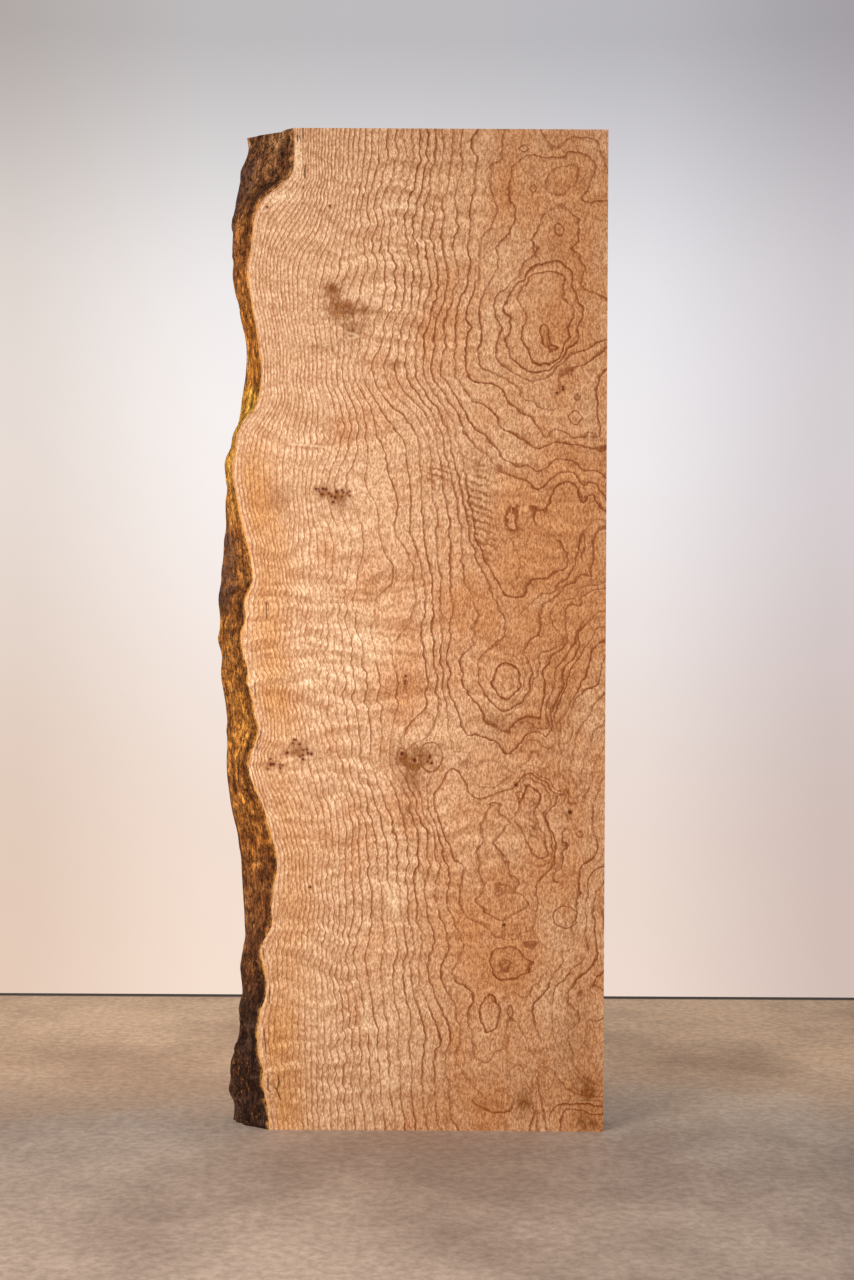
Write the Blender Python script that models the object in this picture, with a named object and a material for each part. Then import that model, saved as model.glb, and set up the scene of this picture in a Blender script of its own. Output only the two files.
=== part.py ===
"""Live-edge maple board: one slab sawn flat from a trunk, planed on both faces and cut square at
the foot, the top and the right side. Its left side is the natural outside of the trunk, with
some bark still grown to it at the top and at the foot.

Units are metres and +Z is up. The board stands on its foot, with its front face towards -Y and
its sawn edge towards +X. The origin is the middle of the board's box, at foot level.
"""

import bmesh
import bpy
from mathutils import Vector, noise

# Driving sizes
BOARD_HEIGHT = 0.864
BOARD_WIDTH = 0.339
BOARD_THICKNESS = 0.038
RIM_DEPTH = 0.032  # behind the front face, where the live edge stands out furthest
RIM_TURN_IN = 0.0022  # how far the live edge falls back from its rim to the back face

# How finely the live edge is modelled
ROW_HEIGHT = 0.0054
STRIP_DEPTHS = (0.0035, 0.008, 0.0125, 0.0175, 0.0225, 0.0275, RIM_DEPTH, 0.0355)

# The front arris, where the planed face ends: height above the foot, width from the sawn edge
FRONT_ARRIS = (
    (0.000, 0.2885),
    (0.026, 0.2910),
    (0.043, 0.2952),
    (0.050, 0.2926),
    (0.066, 0.2988),
    (0.090, 0.2984),
    (0.101, 0.2974),
    (0.108, 0.2935),
    (0.125, 0.2906),
    (0.145, 0.2949),
    (0.153, 0.2972),
    (0.162, 0.2942),
    (0.175, 0.2862),
    (0.206, 0.2862),
    (0.227, 0.2824),
    (0.240, 0.2833),
    (0.258, 0.2892),
    (0.280, 0.2951),
    (0.304, 0.3059),
    (0.314, 0.3076),
    (0.329, 0.3035),
    (0.345, 0.2983),
    (0.357, 0.3025),
    (0.376, 0.3056),
    (0.388, 0.3090),
    (0.396, 0.3080),
    (0.408, 0.3125),
    (0.426, 0.3148),
    (0.440, 0.3104),
    (0.454, 0.3121),
    (0.467, 0.3061),
    (0.480, 0.3049),
    (0.502, 0.3086),
    (0.540, 0.3180),
    (0.568, 0.3230),
    (0.592, 0.3202),
    (0.605, 0.3166),
    (0.615, 0.3098),
    (0.624, 0.3020),
    (0.645, 0.2985),
    (0.662, 0.2981),
    (0.692, 0.3027),
    (0.715, 0.3074),
    (0.741, 0.3112),
    (0.757, 0.3079),
    (0.786, 0.3052),
    (0.800, 0.2990),
    (0.811, 0.2880),
    (0.822, 0.2735),
    (0.840, 0.2707),
    (0.864, 0.2714),
)

# The rim of the live edge: height above the foot, width from the sawn edge
LIVE_RIM = (
    (0.000, 0.3226),
    (0.019, 0.3220),
    (0.024, 0.3268),
    (0.035, 0.3248),
    (0.053, 0.3244),
    (0.064, 0.3202),
    (0.080, 0.3166),
    (0.100, 0.3178),
    (0.112, 0.3150),
    (0.131, 0.3168),
    (0.162, 0.3127),
    (0.192, 0.3144),
    (0.228, 0.3170),
    (0.262, 0.3230),
    (0.302, 0.3296),
    (0.333, 0.3293),
    (0.363, 0.3312),
    (0.392, 0.3356),
    (0.407, 0.3343),
    (0.422, 0.3392),
    (0.440, 0.3367),
    (0.459, 0.3381),
    (0.480, 0.3356),
    (0.512, 0.3334),
    (0.545, 0.3321),
    (0.554, 0.3304),
    (0.577, 0.3330),
    (0.590, 0.3280),
    (0.618, 0.3202),
    (0.657, 0.3143),
    (0.680, 0.3144),
    (0.705, 0.3197),
    (0.735, 0.3254),
    (0.772, 0.3272),
    (0.800, 0.3252),
    (0.824, 0.3203),
    (0.834, 0.3213),
    (0.844, 0.3164),
    (0.864, 0.3114),
)

# How full the live edge is between the arris and the rim: height above the foot, fullness
FULLNESS = (
    (0.000, 0.0055),
    (0.045, 0.0060),
    (0.060, 0.0020),
    (0.095, 0.0040),
    (0.160, 0.0030),
    (0.300, 0.0015),
    (0.600, 0.0010),
    (0.720, 0.0020),
    (0.790, 0.0055),
    (0.835, 0.0030),
    (0.864, -0.0025),
)

# Lumps and hollows of the trunk's outside: height, depth behind the front face, half length,
# half width, and how far it stands out
LUMPS = (
    (0.063, 0.021, 0.013, 0.012, 0.0026),
    (0.043, 0.022, 0.008, 0.012, 0.0020),
    (0.030, 0.016, 0.004, 0.014, -0.0022),
    (0.120, 0.016, 0.012, 0.008, -0.0020),
    (0.176, 0.014, 0.005, 0.016, 0.0016),
    (0.199, 0.014, 0.005, 0.016, 0.0014),
    (0.221, 0.016, 0.006, 0.016, 0.0016),
    (0.415, 0.016, 0.012, 0.010, -0.0018),
    (0.437, 0.020, 0.008, 0.010, 0.0018),
    (0.470, 0.013, 0.014, 0.007, -0.0014),
    (0.545, 0.016, 0.012, 0.010, 0.0020),
    (0.584, 0.018, 0.010, 0.010, 0.0018),
    (0.690, 0.010, 0.014, 0.006, -0.0016),
    (0.816, 0.010, 0.010, 0.007, -0.0036),
)

# Bark and grain relief: how high it stands, and how close its ridges lie along and across
BARK_RELIEF = 0.0016
GRAIN_RELIEF = 0.0007
RELIEF_SPACING = Vector((0.030, 0.011, 0.026))
BARK_FOOT_TOP = 0.165  # bark remains below this height
BARK_TOP_FOOT = 0.700  # and above this one
BARK_FADE = 0.040
# Finer ridges ride on the coarse ones, half as high
FINE_RIDGES = 2.1
FINE_STRENGTH = 0.5
FINE_OFFSET = Vector((7.3, 0.0, 0.0))
# The relief dies out at the arris and at the rim, whose outlines are given
ARRIS_FADE = 0.006
RIM_FADE = 0.010

SAWN_EDGE_X = BOARD_WIDTH / 2
FRONT_Y = -BOARD_THICKNESS / 2
FLAT_TOLERANCE = 1e-5

MAPLE_COLOUR = (0.56, 0.37, 0.22, 1.0)
MAPLE_ROUGHNESS = 0.48


def smooth_step(value):
    """Eases 0..1 so that it starts and ends level."""
    value = min(max(value, 0.0), 1.0)
    return value * value * (3 - 2 * value)


def along(points, height):
    """Reads a smooth curve through (height, value) points, which run upwards."""
    last = len(points) - 2
    i = 0
    while i < last and height > points[i + 1][0]:
        i += 1
    (z0, v0), (z1, v1) = points[i], points[i + 1]
    before = points[max(i - 1, 0)]
    after = points[min(i + 2, len(points) - 1)]
    slope0 = (v1 - before[1]) / (z1 - before[0])
    slope1 = (after[1] - v0) / (after[0] - z0)
    span = z1 - z0
    t = (height - z0) / span
    rise = (2 * t**3 - 3 * t**2 + 1) * v0 + (3 * t**2 - 2 * t**3) * v1
    return rise + span * ((t**3 - 2 * t**2 + t) * slope0 + (t**3 - t**2) * slope1)


def relief(depth, height):
    """How far lumps, bark and grain stand out of the live edge's smooth form."""
    out = 0.0
    for at_height, at_depth, half_length, half_width, stand in LUMPS:
        away = ((height - at_height) / half_length) ** 2 + ((depth - at_depth) / half_width) ** 2
        if away < 1:
            out += stand * (1 - away) ** 2
    bark = smooth_step((BARK_FOOT_TOP - height) / BARK_FADE + 0.5)
    bark = max(bark, smooth_step((height - BARK_TOP_FOOT) / BARK_FADE + 0.5))
    strength = GRAIN_RELIEF + (BARK_RELIEF - GRAIN_RELIEF) * bark
    place = Vector((0.0, depth / RELIEF_SPACING.y, height / RELIEF_SPACING.z))
    out += strength * noise.noise(place)
    out += strength * FINE_STRENGTH * noise.noise(place * FINE_RIDGES + FINE_OFFSET)
    return out


def live_edge_width(depth, height):
    """Width from the sawn edge to the live edge's surface, at a depth behind the front face."""
    arris = along(FRONT_ARRIS, height)
    rim = along(LIVE_RIM, height)
    if depth <= RIM_DEPTH:
        t = depth / RIM_DEPTH
        width = arris + (rim - arris) * t + along(FULLNESS, height) * 4 * t * (1 - t)
    else:
        t = (depth - RIM_DEPTH) / (BOARD_THICKNESS - RIM_DEPTH)
        width = rim - RIM_TURN_IN * t * t
    mask = smooth_step(depth / ARRIS_FADE) * smooth_step(abs(depth - RIM_DEPTH) / RIM_FADE)
    return min(width + relief(depth, height) * mask, BOARD_WIDTH)


def wood_material():
    """Sanded, oiled maple."""
    material = bpy.data.materials.new("maple")
    material.use_nodes = True
    shader = material.node_tree.nodes["Principled BSDF"]
    shader.inputs["Base Color"].default_value = MAPLE_COLOUR
    shader.inputs["Roughness"].default_value = MAPLE_ROUGHNESS
    shader.inputs["Metallic"].default_value = 0.0
    material.diffuse_color = MAPLE_COLOUR
    return material


def board_mesh():
    """A sawn block whose left side is cut into strips and drawn out to the trunk's outside."""
    block = bmesh.new()
    bmesh.ops.create_cube(block, size=1.0)
    bmesh.ops.scale(block, vec=(BOARD_WIDTH, BOARD_THICKNESS, BOARD_HEIGHT), verts=block.verts)
    bmesh.ops.translate(block, vec=(0, 0, BOARD_HEIGHT / 2), verts=block.verts)

    rows = round(BOARD_HEIGHT / ROW_HEIGHT)
    for row in range(1, rows):
        everything = block.verts[:] + block.edges[:] + block.faces[:]
        level = (0, 0, BOARD_HEIGHT * row / rows)
        bmesh.ops.bisect_plane(block, geom=everything, plane_co=level, plane_no=(0, 0, 1))
    for depth in STRIP_DEPTHS:
        left = [face for face in block.faces if face.normal.x < -0.9]
        edges = {edge for face in left for edge in face.edges}
        corners = {vert for face in left for vert in face.verts}
        bmesh.ops.bisect_plane(
            block,
            geom=left + list(edges) + list(corners),
            plane_co=(0, FRONT_Y + depth, 0),
            plane_no=(0, 1, 0),
        )

    for vert in block.verts:
        if vert.co.x < -SAWN_EDGE_X + FLAT_TOLERANCE:
            depth = vert.co.y - FRONT_Y
            vert.co.x = SAWN_EDGE_X - live_edge_width(depth, vert.co.z)

    bmesh.ops.recalc_face_normals(block, faces=block.faces)
    mesh = bpy.data.meshes.new("maple_board")
    block.to_mesh(mesh)
    block.free()
    return mesh


def main():
    for old in list(bpy.data.objects):
        bpy.data.objects.remove(old, do_unlink=True)
    parts = bpy.data.collections.new("live_edge_board")
    bpy.context.scene.collection.children.link(parts)

    mesh = board_mesh()
    mesh.materials.append(wood_material())
    parts.objects.link(bpy.data.objects.new("maple_board", mesh))


main()
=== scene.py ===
"""Live-edge maple board standing on its foot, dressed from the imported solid.

Units are metres and +Z is up. The planed front face looks towards -Y, the sawn edge towards +X and
the live edge, the outside of the trunk, towards -X. Places that were read off the photograph are
pixels of its 854 x 1280 frame, and from_photo turns them into metres on the board.
"""

import bmesh
import bpy
import numpy as np
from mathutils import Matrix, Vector, noise


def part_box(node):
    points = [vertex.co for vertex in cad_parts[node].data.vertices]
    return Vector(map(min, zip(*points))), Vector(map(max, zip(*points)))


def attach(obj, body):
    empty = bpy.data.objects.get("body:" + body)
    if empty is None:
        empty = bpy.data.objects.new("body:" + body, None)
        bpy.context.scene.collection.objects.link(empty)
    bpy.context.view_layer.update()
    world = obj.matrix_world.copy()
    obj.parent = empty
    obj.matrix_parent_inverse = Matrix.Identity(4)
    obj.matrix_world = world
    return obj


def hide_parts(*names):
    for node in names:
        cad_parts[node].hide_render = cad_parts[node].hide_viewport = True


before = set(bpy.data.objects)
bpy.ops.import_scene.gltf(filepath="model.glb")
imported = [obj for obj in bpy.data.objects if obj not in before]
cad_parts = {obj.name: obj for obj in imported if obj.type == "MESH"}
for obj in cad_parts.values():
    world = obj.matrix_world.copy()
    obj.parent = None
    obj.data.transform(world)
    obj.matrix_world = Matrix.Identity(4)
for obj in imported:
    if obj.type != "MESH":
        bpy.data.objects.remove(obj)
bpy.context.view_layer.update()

# Camera and frame of the photograph
# The lens looks straight at the middle of the planed face, from a pace and a half away, and the
# picture leans by a third of a degree.
PHOTO_WIDTH = 854
PHOTO_HEIGHT = 1280
PHOTO_ROLL = 0.0054
FOCAL_PIXELS = 1778
CAMERA_DISTANCE = 1.533
CAMERA_X = 0.0154
CAMERA_HEIGHT = 0.4230
SENSOR = 0.036

board_low, board_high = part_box("maple_board")
FRONT_Y = board_low.y


def from_photo(pixels, depth=0.0):
    """Pixels of the photograph as x and z on the plane that lies depth behind the front face."""
    across = np.asarray(pixels, float)[:, 0] - PHOTO_WIDTH / 2
    down = np.asarray(pixels, float)[:, 1] - PHOTO_HEIGHT / 2
    size = (CAMERA_DISTANCE + depth) / FOCAL_PIXELS
    x = CAMERA_X + (across + PHOTO_ROLL * down) * size
    z = CAMERA_HEIGHT - (down - PHOTO_ROLL * across) * size
    return x, z


camera = bpy.data.cameras.new("camera")
camera.sensor_width = SENSOR * 1000
camera.lens = SENSOR * 1000 * FOCAL_PIXELS / PHOTO_HEIGHT
camera_object = bpy.data.objects.new("camera", camera)
camera_object.location = (CAMERA_X, FRONT_Y - CAMERA_DISTANCE, CAMERA_HEIGHT)
camera_object.rotation_euler = (np.pi / 2, -PHOTO_ROLL, 0)
bpy.context.scene.collection.objects.link(camera_object)
bpy.context.scene.camera = camera_object

# Board
# One slab of maple sawn flat from a trunk, planed on both faces and cut square at the foot, the top
# and the right. Its left side is the outside of the trunk, with bark still grown to both ends.
BACK_Y = board_high.y
FOOT_Z = board_low.z
TOP_Z = board_high.z
SAWN_X = board_high.x
BOARD_WIDTH = board_high.x - board_low.x
BOARD_THICKNESS = BACK_Y - FRONT_Y
BOARD_HEIGHT = TOP_Z - FOOT_Z
# How finely the board is divided: up it, across its faces and through its live edge, and how
# many more cuts each column of the front face gets
ROWS = 384
COLUMNS = 32
STRIPS = 30
FRONT_CUTS = 3
# The live edge stands out furthest at this depth, and falls back this much from there to the back
RIM_DEPTH = 0.032
RIM_TURN_IN = 0.0022

# Where the planed face ends, from top to foot
ARRIS = (
    (293.7, 128), (294, 142), (294.4, 156), (293, 170), (291.3, 177), (284.6, 181), (279, 186),
    (271, 192), (263.6, 198), (257, 209), (254, 218), (252.6, 230), (251.8, 241), (250.7, 252),
    (247.3, 263), (246.8, 270), (249.2, 287), (251, 301), (253.5, 315), (256.4, 327), (257.8, 341),
    (259.7, 354), (261.5, 363), (261.2, 375), (260.2, 389), (257.8, 401), (255.9, 408), (251, 413),
    (244.4, 420), (239.7, 428), (236.3, 435), (235.4, 443), (235.6, 453), (232.5, 461), (232, 469),
    (233.4, 481), (235.4, 492), (237.7, 503), (239.7, 515), (242.5, 527), (245.4, 537), (248.3, 548),
    (250.2, 557), (252.1, 568), (252.6, 578), (251, 588), (246.8, 595), (244, 603), (245.4, 613),
    (245.9, 621), (242.5, 629), (240.6, 636), (241.6, 645), (243.5, 658), (247.3, 666), (248.3, 674),
    (246.8, 681), (251, 694), (253.5, 707), (254.5, 716), (257.8, 724), (259.3, 730), (257.5, 735),
    (254, 746), (249.2, 759), (248.3, 766), (250.2, 777), (254, 787), (257.8, 796), (262.6, 805),
    (265.5, 814), (267.4, 823), (269.3, 830), (273, 842), (276, 852), (277, 866), (276, 879),
    (272.2, 887), (272.7, 896), (273, 902), (271.2, 906), (272.2, 927), (267.4, 934), (262, 943),
    (259.3, 952), (262, 961), (265.7, 976), (266.8, 985), (266.3, 994), (263.4, 1004), (258.8, 1012),
    (260.5, 1017), (257.6, 1025), (257, 1035), (257, 1043), (258.2, 1047), (257, 1053),
    (260.5, 1062), (264, 1072), (261, 1080), (263.4, 1090), (265, 1097), (267.4, 1107), (268.5, 1118),
    (269, 1132),
)

# Where the live edge stands out furthest, near the back, from top to foot
RIM = (
    (247, 127), (247, 138), (248.3, 149), (245.4, 161), (240, 170), (239.2, 174.5), (241, 181),
    (237.7, 193), (235.8, 206), (233.4, 219), (232.5, 235), (232.5, 249), (233.4, 264), (233.4, 277),
    (235.8, 292), (238.7, 306), (240.6, 319), (243.5, 331), (246.2, 344), (246.8, 358), (246.4, 372),
    (244, 386), (241.6, 399), (241, 408), (239.7, 417), (237.7, 426), (234.4, 433), (232.5, 441),
    (230.6, 450), (226.3, 456), (224.5, 463), (225, 471), (225.8, 480), (227.7, 490), (225.3, 500),
    (225.3, 515), (226, 529), (223.9, 538), (223.4, 557), (220.7, 572), (221.5, 581), (218, 597),
    (219.6, 613), (219.6, 630), (217.2, 640), (220.5, 648), (222.4, 657), (220.3, 672), (222, 683),
    (225.8, 707), (227, 721), (226, 729), (227.4, 741), (226.3, 763), (226.7, 776), (228.7, 790),
    (230.6, 803), (233.4, 817), (236.8, 830), (238.7, 846), (241, 858), (242, 877), (243.5, 901),
    (244.4, 920), (245.4, 935), (244, 945), (242, 954), (240.4, 971), (241, 983), (242.4, 993),
    (238.7, 1005), (239.3, 1015), (240.4, 1024), (239.8, 1035), (236.4, 1040), (234.7, 1050),
    (231, 1059), (231, 1070), (230.7, 1080), (228, 1094), (233.5, 1098), (233.5, 1106), (234, 1114),
    (232.4, 1132),
)

# How full the live edge is between arris and rim: height, fullness
FULLNESS = (
    (0.000, 0.0055), (0.045, 0.0060), (0.060, 0.0020), (0.095, 0.0040), (0.160, 0.0030),
    (0.300, 0.0015), (0.600, 0.0010), (0.720, 0.0020), (0.790, 0.0055), (0.835, 0.0030),
    (0.864, -0.0025),
)

# Lumps and hollows of the trunk's outside: height, depth behind the front face, half length,
# half width, and how far it stands out
LUMPS = (
    (0.063, 0.021, 0.013, 0.012, 0.0042), (0.043, 0.022, 0.008, 0.012, 0.0034),
    (0.030, 0.016, 0.005, 0.014, -0.0042), (0.120, 0.016, 0.012, 0.008, -0.0020),
    (0.176, 0.014, 0.005, 0.016, 0.0016), (0.199, 0.014, 0.005, 0.016, 0.0014),
    (0.221, 0.016, 0.006, 0.016, 0.0016), (0.415, 0.016, 0.012, 0.010, -0.0018),
    (0.437, 0.020, 0.008, 0.010, 0.0018), (0.470, 0.013, 0.014, 0.007, -0.0014),
    (0.545, 0.016, 0.012, 0.010, 0.0020), (0.584, 0.018, 0.010, 0.010, 0.0018),
    (0.690, 0.010, 0.014, 0.006, -0.0016), (0.816, 0.010, 0.010, 0.007, -0.0036),
)
# Bark is left below the first of these heights and above the second
BARK_FOOT_TOP = 0.165
BARK_TOP_FOOT = 0.700
BARK_FADE = 0.040
# How far bark and bare grain stand out, and how long and wide their ridges are
BARK_RELIEF = 0.0038
GRAIN_RELIEF = 0.0012
RELIEF_LENGTH = 0.020
RELIEF_WIDTH = 0.009
# Each finer layer of the relief is this much smaller than the one before
RELIEF_LAYERS = 5
RELIEF_FINER = 2.1
RELIEF_SMOOTHNESS = 1.0
# The relief dies out at the arris, and this share of it is left at the rim
ARRIS_FADE = 0.004
RIM_FADE = 0.010
RIM_RELIEF = 0.35
FLAT_TOLERANCE = 1e-5
PARALLEL = 0.999


def smooth_step(value):
    """Eases 0..1 so that it starts and ends level."""
    value = np.clip(value, 0, 1)
    return value * value * (3 - 2 * value)


def outline_width(pixels, depth, heights):
    """Width from the sawn edge to an outline of the photograph, at each height."""
    x, z = from_photo(pixels, depth)
    order = np.argsort(z)
    fine = np.linspace(z.min(), z.max(), 4 * len(z))
    width = np.interp(fine, z[order], SAWN_X - x[order])
    width = np.convolve(np.pad(width, 1, mode="edge"), (0.25, 0.5, 0.25), mode="valid")
    return np.interp(heights, fine, width)


def relief(depth, height):
    """How far lumps, bark and grain stand out of the live edge's smooth form."""
    out = 0.0
    for at_height, at_depth, half_length, half_width, stand in LUMPS:
        away = ((height - at_height) / half_length) ** 2 + ((depth - at_depth) / half_width) ** 2
        if away < 1:
            out += stand * (1 - away) ** 2
    bark = smooth_step((BARK_FOOT_TOP - height) / BARK_FADE + 0.5)
    bark = max(bark, smooth_step((height - BARK_TOP_FOOT) / BARK_FADE + 0.5))
    strength = GRAIN_RELIEF + (BARK_RELIEF - GRAIN_RELIEF) * bark
    place = Vector((0.0, depth / RELIEF_WIDTH, height / RELIEF_LENGTH))
    layers = noise.fractal(place, RELIEF_SMOOTHNESS, RELIEF_FINER, RELIEF_LAYERS)
    return out + strength * layers


def select_edges(mesh, chosen):
    """Selects only the edges whose ends a and b make chosen(a, b) true."""
    edit = bmesh.from_edit_mesh(mesh)
    for face in edit.faces:
        face.select_set(False)
    for edge in edit.edges:
        edge.select_set(chosen(edge.verts[0].co, edge.verts[1].co))
    bmesh.update_edit_mesh(mesh)


bpy.ops.object.select_all(action="DESELECT")
middle = (board_low + board_high) / 2
bpy.ops.mesh.primitive_cube_add(
    size=1, location=middle, scale=(BOARD_WIDTH, BOARD_THICKNESS, BOARD_HEIGHT)
)
board = bpy.context.object
board.name = "live_edge_board"
bpy.ops.object.transform_apply(location=True, rotation=True, scale=True)
bpy.ops.object.mode_set(mode="EDIT")
bpy.ops.mesh.select_mode(type="EDGE")


def is_left(place):
    """Whether a place lies on the block's left side."""
    return place.x < board_low.x + FLAT_TOLERANCE


def is_front(place):
    """Whether a place lies on the front face."""
    return place.y < FRONT_Y + FLAT_TOLERANCE


def runs_along(a, b, axis):
    """Whether the edge from a to b runs along this axis only."""
    step = b - a
    return abs(step[axis]) > step.length * PARALLEL


select_edges(board.data, lambda a, b: runs_along(a, b, 2))
bpy.ops.mesh.subdivide(number_cuts=ROWS - 1)
select_edges(board.data, lambda a, b: runs_along(a, b, 0))
bpy.ops.mesh.subdivide(number_cuts=COLUMNS - 1)
select_edges(board.data, lambda a, b: runs_along(a, b, 1) and is_left(a))
bpy.ops.mesh.subdivide(number_cuts=STRIPS - 1)
select_edges(board.data, lambda a, b: runs_along(a, b, 0) and is_front(a))
bpy.ops.mesh.subdivide(number_cuts=FRONT_CUTS)
select_edges(board.data, lambda a, b: runs_along(a, b, 2) and is_left(a))
bpy.ops.mesh.subdivide(number_cuts=1)
bpy.ops.object.mode_set(mode="OBJECT")

place = np.empty(len(board.data.vertices) * 3)
board.data.vertices.foreach_get("co", place)
place = place.reshape(-1, 3)
height = place[:, 2] - FOOT_Z
depth = place[:, 1] - FRONT_Y
share = (SAWN_X - place[:, 0]) / BOARD_WIDTH
arris = outline_width(ARRIS, 0.0, place[:, 2])
rim = outline_width(RIM, RIM_DEPTH, place[:, 2])
full_height, fullness = np.array(FULLNESS).T
across = np.minimum(depth / RIM_DEPTH, 1)
width = arris + (rim - arris) * across
width += np.interp(height, full_height, fullness) * 4 * across * (1 - across)
width -= RIM_TURN_IN * (np.maximum(depth - RIM_DEPTH, 0) / (BOARD_THICKNESS - RIM_DEPTH)) ** 2
for i in np.flatnonzero(share > 1 - FLAT_TOLERANCE):
    off_rim = smooth_step(abs(depth[i] - RIM_DEPTH) / RIM_FADE)
    fade = smooth_step(depth[i] / ARRIS_FADE) * (RIM_RELIEF + (1 - RIM_RELIEF) * off_rim)
    width[i] += relief(depth[i], height[i]) * fade
width = np.minimum(width, BOARD_WIDTH)
place[:, 0] = SAWN_X - share * width
board.data.vertices.foreach_set("co", place.ravel())
board.data.update()

# Growth rings
# The saw cut through the trunk's yearly rings, which lie round a pith behind the board. They run up
# the sapwood by the live edge, and draw hills and islands where the trunk swelled and curled.
# The pith lies right of the board's middle and behind its front face
PITH_X = 0.110
PITH_DEPTH = 0.180
RING_THICKNESS = 0.0033

# Where every fourth ring crosses the planed face: row, then the column of each ring in RINGS_READ
RINGS_READ = (0, 4, 8, 12, 16, 18, 20)
RING_ROWS = (
    (129, 294, 311, 328, 348, 372, 388, 404), (160, 294, 311, 327, 347, 370, 387, 405),
    (180, 287, 310, 326, 345, 366, 381, 399), (196, 266, 303, 323, 343, 363, 376, 392),
    (210, 256, 294, 319, 340, 361, 375, 389), (222, 253, 286, 315, 337, 361, 377, 392),
    (236, 252, 278, 307, 333, 358, 374, 389), (250, 251, 272, 298, 328, 357, 373, 390),
    (264, 247, 270, 292, 323, 357, 376, 394), (280, 248, 270, 291, 319, 353, 374, 396),
    (297, 250, 272, 292, 317, 348, 370, 396), (313, 253, 274, 293, 316, 344, 363, 388),
    (326, 256, 277, 295, 317, 343, 360, 382), (341, 258, 279, 298, 319, 344, 360, 382),
    (356, 260, 280, 300, 320, 344, 357, 373), (368, 261.5, 280, 300, 320, 342, 354, 371),
    (382, 261, 280, 299, 319, 343, 356, 375), (398, 259, 281, 301, 324, 350, 365, 384),
    (412, 252, 277, 301, 327, 354, 371, 399), (425, 241, 268, 299, 328, 357, 374, 411),
    (438, 236, 262, 297, 326, 357, 378, 418), (455, 235, 259, 294, 320, 355, 386, 419),
    (470, 232, 258, 292, 316, 350, 387, 420), (485, 234, 259, 291, 313, 345, 393, 421),
    (500, 237, 261, 292, 313, 350, 397, 422), (515, 240, 264, 294, 316, 358, 397, 422),
    (530, 243, 267, 292, 320, 362, 395, 422), (545, 247, 270, 290, 322, 363, 401, 423),
    (560, 251, 272, 290, 322, 362, 410, 427), (578, 252.5, 274, 293, 321, 356, 413, 431),
    (600, 244.5, 274, 298, 322, 353, 415, 432), (615, 245, 274, 299, 324, 355, 410, 433),
    (630, 242, 271, 299, 326, 359, 407, 433), (645, 241.5, 271, 298, 325, 361, 392, 432),
    (660, 244, 274, 297, 323, 362, 389, 434), (680, 247, 273, 296, 324, 363, 396, 437),
    (700, 252, 275, 297, 326, 365, 397, 437), (720, 256, 278, 301, 326, 369, 394, 436),
    (740, 256, 277, 304, 330, 371, 391, 419), (757, 250, 272, 305, 337, 370, 389, 403),
    (780, 252, 273, 310, 344, 375, 400, 412), (800, 260, 284, 318, 351, 384, 409, 421),
    (830, 269, 293, 322, 356, 393, 415, 434), (860, 277, 299, 327, 357, 397, 418, 438),
    (890, 272, 301, 324, 358, 398, 413, 436), (920, 272, 300, 328, 360, 403, 418, 443),
    (950, 260, 293, 325, 350, 407, 420, 449), (980, 266, 294, 326, 355, 403, 418, 442),
    (1010, 259, 293, 328, 361, 409, 430, 455), (1040, 257, 293, 329, 366, 410, 440, 460),
    (1080, 261, 297, 328, 367, 411, 434), (1128, 268, 298, 328, 371, 415, 438),
)

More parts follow.
